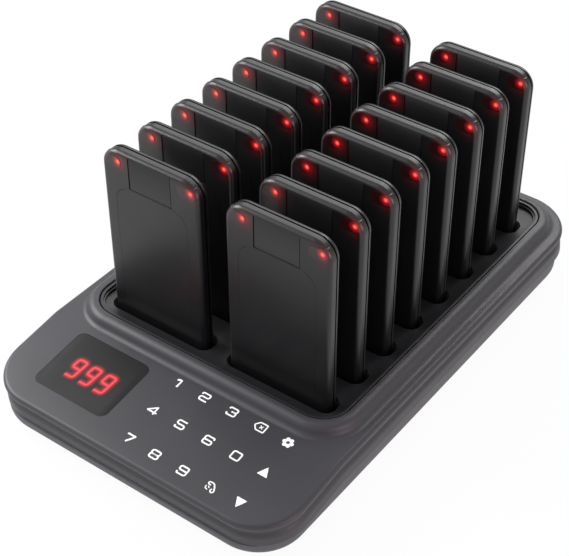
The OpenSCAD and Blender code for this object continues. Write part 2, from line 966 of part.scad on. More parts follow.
place(8) pager_core();  // pager_08_core
place(9) pager_front_cover();  // pager_09_front_cover
place(9) pager_back_cover();  // pager_09_back_cover
place(9) pager_core();  // pager_09_core
place(10) pager_front_cover();  // pager_10_front_cover
place(10) pager_back_cover();  // pager_10_back_cover
place(10) pager_core();  // pager_10_core
place(11) pager_front_cover();  // pager_11_front_cover
place(11) pager_back_cover();  // pager_11_back_cover
place(11) pager_core();  // pager_11_core
place(12) pager_front_cover();  // pager_12_front_cover
place(12) pager_back_cover();  // pager_12_back_cover
place(12) pager_core();  // pager_12_core
place(13) pager_front_cover();  // pager_13_front_cover
place(13) pager_back_cover();  // pager_13_back_cover
place(13) pager_core();  // pager_13_core
place(14) pager_front_cover();  // pager_14_front_cover
place(14) pager_back_cover();  // pager_14_back_cover
place(14) pager_core();  // pager_14_core
place(15) pager_front_cover();  // pager_15_front_cover
place(15) pager_back_cover();  // pager_15_back_cover
place(15) pager_core();  // pager_15_core
place(16) pager_front_cover();  // pager_16_front_cover
place(16) pager_back_cover();  // pager_16_back_cover
place(16) pager_core();  // pager_16_core
top_shell();
bottom_shell();
slot_tray();
display_window();
display_module();
keypad_board();
charging_board();
charge_contacts();
rubber_feet();
case_screws();
dc_jack();
antenna();
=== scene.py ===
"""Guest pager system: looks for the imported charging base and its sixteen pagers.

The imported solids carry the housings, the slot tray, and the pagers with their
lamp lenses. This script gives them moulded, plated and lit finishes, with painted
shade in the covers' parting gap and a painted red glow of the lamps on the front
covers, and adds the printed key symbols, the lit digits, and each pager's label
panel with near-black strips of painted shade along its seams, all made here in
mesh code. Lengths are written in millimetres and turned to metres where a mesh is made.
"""

import logging
import math
from dataclasses import dataclass, field
from enum import Enum
from typing import Iterable, Sequence

import bmesh
import bpy
from mathutils import Matrix, Vector


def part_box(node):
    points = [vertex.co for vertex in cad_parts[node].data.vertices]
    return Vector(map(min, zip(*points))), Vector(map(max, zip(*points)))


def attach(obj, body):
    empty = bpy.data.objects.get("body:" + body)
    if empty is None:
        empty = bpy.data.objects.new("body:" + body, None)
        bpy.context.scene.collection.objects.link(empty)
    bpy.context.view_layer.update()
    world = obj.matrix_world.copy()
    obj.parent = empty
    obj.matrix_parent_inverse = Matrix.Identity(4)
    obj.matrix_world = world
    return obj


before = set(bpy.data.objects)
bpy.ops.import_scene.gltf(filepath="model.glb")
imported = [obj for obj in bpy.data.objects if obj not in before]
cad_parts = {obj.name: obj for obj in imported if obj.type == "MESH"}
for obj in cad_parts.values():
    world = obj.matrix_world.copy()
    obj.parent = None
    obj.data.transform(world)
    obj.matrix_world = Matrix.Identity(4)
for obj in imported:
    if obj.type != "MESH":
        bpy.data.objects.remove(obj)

LOG = logging.getLogger("guest_pager_system")
MM = 0.001
PAGER_COUNT = 16
# how many short lines a corner of the label panel is made of
CORNER_CHORDS = 8
MATH = "ShaderNodeMath"
# corners of a solid's faces that lie closer than this, in mm, become one point
WELD_MM = 0.002
# nearly all of a noise texture lies between these two values
NOISE_LOW, NOISE_HIGH = 0.3, 0.7

Point = tuple[float, float]
Place = tuple[float, float, float]
Colour = tuple[float, float, float, float]


# ----------------------------------------------------------------- helpers
def linear(hex_colour: str) -> Colour:
    """Turns an sRGB hex colour to linear light, by the standard's own curve.

    Args:
        hex_colour: six hex digits after a hash sign.

    Returns:
        Red, green, blue and an alpha of 1.
    """
    parts = [int(hex_colour[i : i + 2], 16) / 255 for i in (1, 3, 5)]
    out = [c / 12.92 if c <= 0.04045 else ((c + 0.055) / 1.055) ** 2.4 for c in parts]
    return (out[0], out[1], out[2], 1.0)


def add(
    tree: bpy.types.NodeTree,
    kind: str,
    inputs: dict[str | int, object] | None = None,
    **settings: object,
) -> bpy.types.Node:
    """Adds a node with its settings, values and links.

    Args:
        tree: the node tree that gets the node.
        kind: the node's type name, such as ShaderNodeMath.
        inputs: socket name or number to a value, to the socket that it links
            from, or to the node whose first output it links from.
        settings: attributes of the node itself.

    Returns:
        The new node.
    """
    node = tree.nodes.new(kind)
    for key, value in settings.items():
        setattr(node, key, value)
    for key, value in (inputs or {}).items():
        source = value.outputs[0] if isinstance(value, bpy.types.Node) else value
        if isinstance(source, bpy.types.NodeSocket):
            tree.links.new(source, node.inputs[key])
        else:
            node.inputs[key].default_value = source
    return node


def mesh_piece(name: str, mesh: bpy.types.Mesh, material: bpy.types.Material) -> bpy.types.Object:
    """Puts a mesh into the scene as a named piece with one material.

    Args:
        name: the piece's name.
        mesh: its mesh, in metres in the shared frame.
        material: its finish.

    Returns:
        The new object.
    """
    piece = bpy.data.objects.new(name, mesh)
    bpy.context.scene.collection.objects.link(piece)
    mesh.materials.clear()
    mesh.materials.append(material)
    LOG.info("made %s", name)
    return piece


def finished_mesh(name: str, shape: bmesh.types.BMesh) -> bpy.types.Mesh:
    """Turns a shape into a mesh.

    Args:
        name: the mesh's name.
        shape: the shape, which is freed.

    Returns:
        The mesh.
    """
    mesh = bpy.data.meshes.new(name)
    shape.to_mesh(mesh)
    shape.free()
    return mesh


def rounded(
    points: Sequence[Point], radius: float, closed: bool = False, chords: int = 4
) -> list[Point]:
    """Rounds the corners of a path.

    Args:
        points: the path's corners.
        radius: the corner radius, in the path's own unit.
        closed: whether the last point joins the first.
        chords: how many short lines a rounded corner is made of.

    Returns:
        The path with its corners rounded.
    """
    count = len(points)
    out: list[Point] = []
    for i, point in enumerate(points):
        if not closed and i in (0, count - 1):
            out.append(point)
            continue
        here = Vector(point)
        back = Vector(points[i - 1]) - here
        ahead = Vector(points[(i + 1) % count]) - here
        reach = min(radius, back.length / 2, ahead.length / 2)
        start = here + back.normalized() * reach
        end = here + ahead.normalized() * reach
        for step in range(chords + 1):
            t = step / chords
            spot = start * (1 - t) ** 2 + here * 2 * t * (1 - t) + end * t**2
            out.append((spot.x, spot.y))
    return out


def direction(path: Sequence[Point], i: int) -> Vector:
    """Gives a path's direction at one of its points.

    Args:
        path: the path's points.
        i: the point's number.

    Returns:
        The unit vector from the point before to the point after.
    """
    before = Vector(path[max(i - 1, 0)])
    after = Vector(path[min(i + 1, len(path) - 1)])
    return (after - before).normalized()


def bridge(
    shape: bmesh.types.BMesh, rows: Sequence[Sequence[bmesh.types.BMVert]], smooth: bool
) -> None:
    """Joins neighbouring rows of points by four-sided faces.

    Args:
        shape: the mesh that gets the faces.
        rows: rows of equally many points.
        smooth: whether the faces are shaded smooth.
    """
    for one, two in zip(rows, rows[1:]):
        for k in range(len(one) - 1):
            shape.faces.new((one[k], one[k + 1], two[k + 1], two[k])).smooth = smooth


# ---------------------------------------------------------------- finishes
@dataclass(frozen=True)
class Graph:
    """A material while it is made: its nodes, its shader and the point on the piece."""

    tree: bpy.types.NodeTree
    shader: bpy.types.Node
    place: bpy.types.NodeSocket


@dataclass(frozen=True)
class Finish:
    """A finish: base colour, gloss and the grain that its mould or coat left.

    A mould's real grain is 0.05 to 0.1 mm wide. It is drawn several times
    coarser, because it is too fine to show in the render otherwise.
    """

    name: str
    colour: str
    roughness: float
    ior: float = 1.5
    metallic: float = 0.0
    grain_mm: float = 0.0
    grain_depth_mm: float = 0.0
    mottle: float = 0.0
    mottle_mm: float = 20.0
    sheen: float = 0.0

    def material(self) -> bpy.types.Material:
        """Makes the finish's material on first use, and finds it again later.

        Returns:
            The material.
        """
        found = bpy.data.materials.get(self.name)
        if found:
            return found
        made = bpy.data.materials.new(self.name)
        made.use_nodes = True
        tree = made.node_tree
        tree.nodes.clear()
        shader = add(
            tree,
            "ShaderNodeBsdfPrincipled",
            {
                "Base Color": linear(self.colour),
                "Roughness": self.roughness,
                "IOR": self.ior,
                "Metallic": self.metallic,
                "Sheen Weight": self.sheen,
            },
        )
        place = add(tree, "ShaderNodeTexCoord").outputs["Object"]
        graph = Graph(tree, shader, place)
        self.grain(graph)
        self.detail(graph)
        add(tree, "ShaderNodeOutputMaterial", {"Surface": self.surface(graph)})
        return made

    def grain(self, graph: Graph) -> None:
        """Adds the fine grain as bump and the slow mottle as gloss.

        Args:
            graph: the material so far.
        """
        tree = graph.tree
        if self.grain_mm:
            fine = add(
                tree,
                "ShaderNodeTexNoise",
                {"Vector": graph.place, "Scale": 1 / (self.grain_mm * MM), "Detail": 2.0},
            )
            bump = add(
                tree,
                "ShaderNodeBump",
                {"Height": fine.outputs["Fac"], "Distance": self.grain_depth_mm * MM},
            )
            tree.links.new(bump.outputs["Normal"], graph.shader.inputs["Normal"])
        if self.mottle:
            slow = add(
                tree,
                "ShaderNodeTexNoise",
                {"Vector": graph.place, "Scale": 1 / (self.mottle_mm * MM), "Detail": 3.0},
            )
            gloss = add(
                tree,
                "ShaderNodeMapRange",
                {
                    "Value": slow.outputs["Fac"],
                    "From Min": NOISE_LOW,
                    "From Max": NOISE_HIGH,
                    "To Min": self.roughness - self.mottle,
                    "To Max": self.roughness + self.mottle,
                },
            )
            tree.links.new(gloss.outputs["Result"], graph.shader.inputs["Roughness"])

    def detail(self, graph: Graph) -> None:
        """Adds what one finish alone has; the plain finish adds nothing."""

    def surface(self, graph: Graph) -> bpy.types.Node:
        """Returns the node whose closure goes to the output."""
        return graph.shader


@dataclass(frozen=True)
class PagerSizes:
    """Where the pagers stand, and where their lamps and panels are, in mm.

    The first five are read from the frame. A drop is measured down from a
    pager's top edge. The lit spots' shift is to the right of the lenses' middles.
    """

    file_x: float
    row_y: float
    pitch_y: float
    top: float
    thickness: float
    die_x: float = 20.2
    die_drop: float = 5.0
    die_shift: float = 2.9
    neck_half: float = 11.8
    panel_half: float = 20.1
    panel_drop: float = 18.2
    panel_end: float = 95.8
    panel_corner: float = 8.1
    panel_foot: float = 4.0
    panel_sink: float = 0.4
    gap_back: float = 0.82

    @property
    def face_drop(self) -> float:
        """Distance from a pager's middle to its front face."""
        return self.thickness / 2

    @classmethod
    def from_frame(cls) -> "PagerSizes":
        """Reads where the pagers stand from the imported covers.

        Returns:
            The pagers' sizes and places.
        """
        low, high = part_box("pager_01_front_cover")
        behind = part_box("pager_01_back_cover")[1].y
        next_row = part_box("pager_03_front_cover")[0].y
        return cls(
            file_x=(low.x + high.x) / 2 / MM,
            row_y=(low.y + behind) / 2 / MM,
            pitch_y=(next_row - low.y) / MM,
            top=high.z / MM,
            thickness=(behind - low.y) / MM,
        )


def lamp_distance(graph: Graph, pager: PagerSizes) -> bpy.types.Node:
    """Measures how far a point of any pager is from the nearer lit spot, along the face.

    Args:
        graph: the material so far.
        pager: the pagers' sizes and places.

    Returns:
        The node that gives the distance, in metres.
    """
    tree = graph.tree
    parts = add(tree, "ShaderNodeSeparateXYZ", {0: graph.place}).outputs
    side = add(tree, MATH, {0: parts["X"]}, operation="SIGN")
    middle = add(tree, MATH, {0: side, 1: pager.file_x * MM}, operation="MULTIPLY")
    across = add(tree, MATH, {0: parts["X"], 1: middle}, operation="SUBTRACT")
    across = add(tree, MATH, {0: across, 1: pager.die_shift * MM}, operation="SUBTRACT")
    across = add(tree, MATH, {0: across}, operation="ABSOLUTE")
    across = add(tree, MATH, {0: across, 1: pager.die_x * MM}, operation="SUBTRACT")
    lamp_z = (pager.top - pager.die_drop) * MM
    down = add(tree, MATH, {0: parts["Z"], 1: lamp_z}, operation="SUBTRACT")
    across = add(tree, MATH, {0: across, 1: across}, operation="MULTIPLY")
    down = add(tree, MATH, {0: down, 1: down}, operation="MULTIPLY")
    squares = add(tree, MATH, {0: across, 1: down}, operation="ADD")
    return add(tree, MATH, {0: squares}, operation="SQRT")


def fade(graph: Graph, away: bpy.types.Node, start: float, end: float) -> bpy.types.Node:
    """Fades from 1 to 0 between two distances.

    Args:
        graph: the material so far.
        away: the node that gives the distance, in metres.
        start: where the fade starts, in mm.
        end: where it ends, in mm.

    Returns:
        The node that gives the fade.
    """
    limits = {"From Min": start * MM, "From Max": end * MM, "To Min": 1.0, "To Max": 0.0}
    inputs = {"Value": away, **limits}
    return add(graph.tree, "ShaderNodeMapRange", inputs, interpolation_type="SMOOTHSTEP")


def facing_front(graph: Graph, power: float) -> bpy.types.Node:
    """Gives 1 where a pager's surface faces the front and 0 where it faces away.

    Args:
        graph: the material so far.
        power: how quickly it falls as the surface turns away.

    Returns:
        The node that gives the share.
    """
    tree = graph.tree
    normal = add(tree, "ShaderNodeNewGeometry").outputs["Normal"]
    depth = add(tree, "ShaderNodeSeparateXYZ", {0: normal}).outputs["Y"]
    front = add(tree, MATH, {0: depth, 1: -1.0}, operation="MULTIPLY")
    front = add(tree, MATH, {0: front, 1: 0.0}, operation="MAXIMUM")
    return add(tree, MATH, {0: front, 1: power}, operation="POWER")


def shine(graph: Graph, hue: bpy.types.NodeSocket, power: bpy.types.Node) -> None:
    """Makes a surface give light.

    Args:
        graph: the material so far.
        hue: the socket that gives the light's colour.
        power: the node that gives its strength.
    """
    graph.tree.links.new(hue, graph.shader.inputs["Emission Color"])
    graph.tree.links.new(power.outputs[0], graph.shader.inputs["Emission Strength"])


@dataclass(frozen=True)
class PagerCover(Finish):
    """ABS, moulded in a polished tool: satin black, with painted shade in the gap between covers.
    """

    pager: PagerSizes = field(default_factory=PagerSizes.from_frame)
    gap_half_mm: float = 0.36
    gap_soft_mm: float = 0.1
    painted_gap_shade: str = "#040404"

    def surface(self, graph: Graph) -> bpy.types.Node:
        """Paints shade on the satin surface in the parting gap, as a mix towards an unlit
        near-black.

        Args:
            graph: the material so far.

        Returns:
            The node whose closure goes to the output.
        """
        tree = graph.tree
        parting = (self.pager.row_y + self.pager.gap_back) * MM
        half_pitch = self.pager.pitch_y / 2 * MM
        depth = add(tree, "ShaderNodeSeparateXYZ", {0: graph.place}).outputs["Y"]
        depth = add(tree, MATH, {0: depth, 1: parting}, operation="SUBTRACT")
        depth = add(tree, MATH, {0: depth, 1: half_pitch, 2: -half_pitch}, operation="WRAP")
        depth = add(tree, MATH, {0: depth}, operation="ABSOLUTE")
        # painted shade: an unlit near-black diffuse is mixed in across the parting gap between
        # the covers
        inside = fade(graph, depth, self.gap_half_mm, self.gap_half_mm + self.gap_soft_mm)
        unlit = {"Color": linear(self.painted_gap_shade), "Roughness": 1.0}
        dark = add(tree, "ShaderNodeBsdfDiffuse", unlit)
        return add(tree, "ShaderNodeMixShader", {0: inside, 1: graph.shader, 2: dark})


@dataclass(frozen=True)
class SatinCover(PagerCover):
    """The front cover's finish: it also shows a painted red glow of the lamps round the lenses.
    """

    # colour, reach and strength of the painted red glow of the lamps on the cover
    painted_glow: str = "#f0141c"
    painted_glow_mm: float = 1.5
    painted_glow_power: float = 0.6
    turn_power: float = 1.0

    def detail(self, graph: Graph) -> None:
        """Paints the lamps' light round each lens as red emission on the cover, standing in for
        the light that the thin wall round the lens lets through.

        Args:
            graph: the material so far.
        """
        tree = graph.tree
        # painted light: red emission on the cover, fading with distance from each lit spot
        away = lamp_distance(graph, self.pager)
        fall = add(tree, MATH, {0: away, 1: -self.painted_glow_mm * MM}, operation="DIVIDE")
        glow = add(tree, MATH, {0: fall}, operation="EXPONENT")
        glow = add(tree, MATH, {0: glow, 1: self.painted_glow_power}, operation="MULTIPLY")
        front = facing_front(graph, self.turn_power)
        glow = add(tree, MATH, {0: glow, 1: front}, operation="MULTIPLY")
        graph.shader.inputs["Emission Color"].default_value = linear(self.painted_glow)
        tree.links.new(glow.outputs[0], graph.shader.inputs["Emission Strength"])


@dataclass(frozen=True)
class LampLens(Finish):
    """Polycarbonate, tinted dark red and satin, lit from behind by a small lamp."""

    pager: PagerSizes = field(default_factory=PagerSizes.from_frame)
    deep: str = "#ec1626"
    bright: str = "#ff6650"
    core_mm: tuple[float, float] = (0.0, 1.7)
    body_mm: tuple[float, float] = (0.3, 3.6)
    core_power: float = 1.0
    body_power: float = 0.5
    rim_power: float = 0.006
    turn_power: float = 3.0

    def detail(self, graph: Graph) -> None:
        """Adds the bright spot over the lamp, which fades to dark at the rim.

        Args:
            graph: the material so far.
        """
        tree = graph.tree
        away = lamp_distance(graph, self.pager)
        core = fade(graph, away, *self.core_mm)
        body = fade(graph, away, *self.body_mm)
        hues = {"Factor": core, "A": linear(self.deep), "B": linear(self.bright)}
        hue = add(tree, "ShaderNodeMix", hues, data_type="RGBA").outputs["Result"]
        parts = {0: core, 1: self.core_power, 2: self.rim_power}
        power = add(tree, MATH, parts, operation="MULTIPLY_ADD")
        parts = {0: body, 1: self.body_power, 2: power}
        power = add(tree, MATH, parts, operation="MULTIPLY_ADD")
        front = facing_front(graph, self.turn_power)
        power = add(tree, MATH, {0: power, 1: front}, operation="MULTIPLY")
        shine(graph, hue, power)


@dataclass(frozen=True)
class LitSegment(Finish):
    """Light of the digits on the window's etched face: pale middle, red edge and halo."""

    core: str = "#ff4c5a"
    edge: str = "#d80012"
    pale_power: float = 4.0
    strength: float = 1.1

    def detail(self, graph: Graph) -> None:
        """Adds light that follows the mesh's own glow attribute.

        Args:
            graph: the material so far.
        """
        tree = graph.tree
        glow = add(tree, "ShaderNodeAttribute", attribute_name="glow").outputs["Fac"]
        pale = add(tree, MATH, {0: glow, 1: self.pale_power}, operation="POWER")
        hues = {"Factor": pale, "A": linear(self.edge), "B": linear(self.core)}
        hue = add(tree, "ShaderNodeMix", hues, data_type="RGBA").outputs["Result"]
        power = add(tree, MATH, {0: glow, 1: self.strength}, operation="MULTIPLY")
        shine(graph, hue, power)


@dataclass(frozen=True)
class SolderMask(Finish):
    """Glass-epoxy board under green solder mask, with the copper tracks paler."""

    track: str = "#3f8a58"
    track_pitch_mm: float = 6.0
    track_share: float = 0.05

    def detail(self, graph: Graph) -> None:
        """Adds tracks as a paler green where copper lies under the mask.

        Args:
            graph: the material so far.
        """
        tracks = add(
            graph.tree,
            "ShaderNodeTexBrick",
            {
                "Vector": graph.place,
                "Scale": 1 / (self.track_pitch_mm * MM),
                "Mortar Size": self.track_share,
                "Color1": linear(self.colour),
                "Color2": linear(self.colour),
                "Mortar": linear(self.track),
            },
            offset=0.5,
        )
        graph.tree.links.new(tracks.outputs["Color"], graph.shader.inputs["Base Color"])


SHELL = Finish(
    # ABS, moulded and sprayed with a soft-touch lacquer: an even grey that
    # scatters light widely, with a grain that only shows where light grazes it
    name="abs_soft_touch_shell",
    colour="#37363b",
    roughness=0.46,
    grain_mm=0.35,
    grain_depth_mm=0.012,
    mottle=0.03,
)
HULL = Finish(
    # ABS, moulded in a spark-eroded tool: a little paler and duller than the lacquer
    name="abs_moulded_lower_shell",
    colour="#525156",
    roughness=0.55,
    grain_mm=0.4,
    grain_depth_mm=0.02,
    mottle=0.03,
)
TRAY = Finish(
    # ABS, moulded in a finely eroded tool: near black and slightly dull
    name="abs_textured_tray",
    colour="#1c1c1f",
    roughness=0.42,
    grain_mm=0.35,
    grain_depth_mm=0.015,
    mottle=0.04,
)
COVER = SatinCover(
    # ABS, moulded in a polished tool: near black, with soft clear reflections
    name="abs_satin_front_cover",
    colour="#131315",
    roughness=0.33,
    grain_mm=0.3,
    grain_depth_mm=0.004,
    mottle=0.03,
)
BACK = PagerCover(
    # the same ABS, its tool a little coarser: the reflections are slightly uneven
    name="abs_satin_back_cover",
    colour="#141416",
    roughness=0.33,
    grain_mm=0.3,
    grain_depth_mm=0.006,
    mottle=0.04,
)
LENS = LampLens(
    # polycarbonate, moulded with a dark red tint: almost black until it is lit
    name="pc_smoked_red_lens",
    colour="#1c0709",
    roughness=0.32,
    ior=1.58,
)
SEAM_SHADE = Finish(
    # painted shade for the gaps round the label panel: a near-black strip that stands in for the
    # shade down in the gap between two mouldings
    name="painted_seam_shade",
    colour="#030303",
    roughness=0.9,
    ior=1.1,
    grain_mm=0.3,
    grain_depth_mm=0.01,
)
WINDOW = Finish(
    # PMMA, cast with a smoke tint, its face etched against glare: an even dark
    # grey that hides the module, and on which the digits' light shows
    name="pmma_smoked_window",
    colour="#0c0c0e",
    roughness=0.7,
    ior=1.49,
    mottle=0.02,
    mottle_mm=8.0,
)
SEGMENT = LitSegment(
    # the window's own PMMA where the digits shine on it: bright red, soft at the edges
    name="led_light_on_window",
    colour=WINDOW.colour,
    roughness=WINDOW.roughness,
    ior=WINDOW.ior,
)
FACE = Finish(
    # polycarbonate, moulded with a dark red tint: a dull, deep red block
    name="pc_red_display_face",
    colour="#2a0a0d",
    roughness=0.4,
    ior=1.58,
    mottle=0.05,
    mottle_mm=6.0,
)
INK = Finish(
    # two-part ink, screen printed: opaque white, slightly domed and faintly rough
    name="screen_printed_white_ink",
    colour="#ffffff",
    roughness=0.5,
    grain_mm=0.2,
    grain_depth_mm=0.004,
)
BOARD = SolderMask(
    # glass-epoxy laminate, coated with solder mask: glossy green, paler over copper
    name="fr4_solder_mask",
    colour="#14532f",
    roughness=0.3,
)
GOLD = Finish(
    # brass pins under hard gold plate: a warm yellow metal, bright and a little uneven
    name="gold_plated_pin",
    colour="#d9b45a",
    roughness=0.25,
    metallic=1.0,
    mottle=0.05,
    mottle_mm=2.0,
)
RUBBER = Finish(
    # silicone rubber, moulded: dull and slightly dusty
    name="moulded_rubber_foot",
    colour="#1c1c1d",
    roughness=0.8,
    grain_mm=0.5,
    grain_depth_mm=0.03,
    sheen=0.2,
)
STEEL = Finish(
    # zinc-plated steel, cold headed: a cool grey metal with patchy gloss
    name="zinc_plated_screw",
    colour="#a9abb0",
    roughness=0.32,
    metallic=1.0,
    mottle=0.06,
    mottle_mm=1.5,
)
COPPER = Finish(
    # copper wire, enamelled and wound on ferrite: brown orange with a clear gloss
    name="enamelled_copper_winding",
    colour="#9a5a2c",
    roughness=0.35,
    metallic=1.0,
    mottle=0.05,
    mottle_mm=3.0,
)


# ------------------------------------------------------- shading of solids
def smoothing(angle: float) -> bpy.types.NodeTree:
    """Makes the modifier tree that joins a solid's faces and shades it smooth.

    Args:
        angle: the angle, in degrees, above which an edge stays sharp.

    Returns:
        The geometry node tree.
    """
    name = f"join_and_smooth_{angle:g}"
    if name in bpy.data.node_groups:
        return bpy.data.node_groups[name]
    tree = bpy.data.node_groups.new(name, "GeometryNodeTree")
    for way in ("INPUT", "OUTPUT"):
        tree.interface.new_socket("Geometry", in_out=way, socket_type="NodeSocketGeometry")
    start = add(tree, "NodeGroupInput")
    inputs = {"Geometry": start, "Distance": WELD_MM * MM}
    weld = add(tree, "GeometryNodeMergeByDistance", inputs)
    inputs = {"Geometry": weld, "Shade Smooth": True}
    smooth = add(tree, "GeometryNodeSetShadeSmooth", inputs, domain="FACE")
    bend = add(tree, "GeometryNodeInputMeshEdgeAngle").outputs["Unsigned Angle"]
    sharp = add(
        tree,
        "FunctionNodeCompare",
        {0: bend, 1: math.radians(angle)},
        data_type="FLOAT",
        operation="GREATER_THAN",
    )
    inputs = {"Geometry": smooth, "Selection": sharp, "Shade Smooth": False}
    edges = add(tree, "GeometryNodeSetShadeSmooth", inputs, domain="EDGE")
    add(tree, "NodeGroupOutput", {0: edges})
    return tree


def bevel(piece: bpy.types.Object, width: float, angle: float) -> None:
    """Breaks a piece's sharp edges.

    Args:
        piece: the piece.
        width: how wide the broken edge is, in mm.
        angle: the angle above which an edge is broken, in degrees.
    """
    broken = piece.modifiers.new("edge", "BEVEL")
    broken.width = width * MM
    broken.segments = 2
    broken.limit_method = "ANGLE"
    broken.angle_limit = math.radians(angle)


def dress(
    node: str, finish: Finish, angle: float = 30.0, edge: float = 0.0, edge_angle: float = 50.0
) -> None:
    """Gives a carried-over solid its finish and smooth shading.

    Args:
        node: the solid's name.
        finish: what it is finished with.
        angle: the angle above which an edge stays sharp, in degrees.
        edge: how wide its sharp edges are broken, in mm, or 0 for not at all.
        edge_angle: the angle above which an edge is broken, in degrees.
    """
    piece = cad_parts[node]
    piece.data.materials.clear()
    piece.data.materials.append(finish.material())
    if edge:
        piece.modifiers.new("join", "WELD").merge_threshold = WELD_MM * MM
        bevel(piece, edge, edge_angle)
    piece.modifiers.new("smooth", "NODES").node_group = smoothing(angle)
    LOG.info("dressed %s", node)


# ------------------------------------------------------------- keypad deck
@dataclass(frozen=True)
class KeypadPlane:
    """The sloped keypad deck: where it bends, in mm, and how many degrees it falls."""

    bend_y: float = -82.252
    height: float = 30.0
    slope: float = 7.7

    def matrix(self) -> Matrix:
        """Works out the turn from the level deck's frame to the sloped one.

        Returns:
            The turn, for points in metres.
        """
        pivot = Vector((0, self.bend_y, self.height)) * MM
        turn = Matrix.Rotation(math.radians(self.slope), 4, "X")
        return Matrix.Translation(pivot) @ turn @ Matrix.Translation(-pivot)


class Symbol(Enum):
    """The printed key symbols."""

    ONE = "key_1"
    TWO = "key_2"
    THREE = "key_3"
    FOUR = "key_4"
    FIVE = "key_5"
    SIX = "key_6"
    SEVEN = "key_7"
    EIGHT = "key_8"
    NINE = "key_9"
    ZERO = "key_0"
    BACKSPACE = "key_backspace"
    SETTINGS = "key_settings"
    UP = "key_up"
    DOWN = "key_down"
    CALL = "key_call"


@dataclass(frozen=True)
class Stroke:
    """A printed line: its corners, how they round, its share of the usual width."""

    corners: list[Point]
    radius: float = 0.0
    weight: float = 1.0
    closed: bool = False

    def path(self) -> list[Point]:
        """Returns the line's points, with its corners rounded."""
        return rounded(self.corners, self.radius, self.closed) if self.radius else self.corners


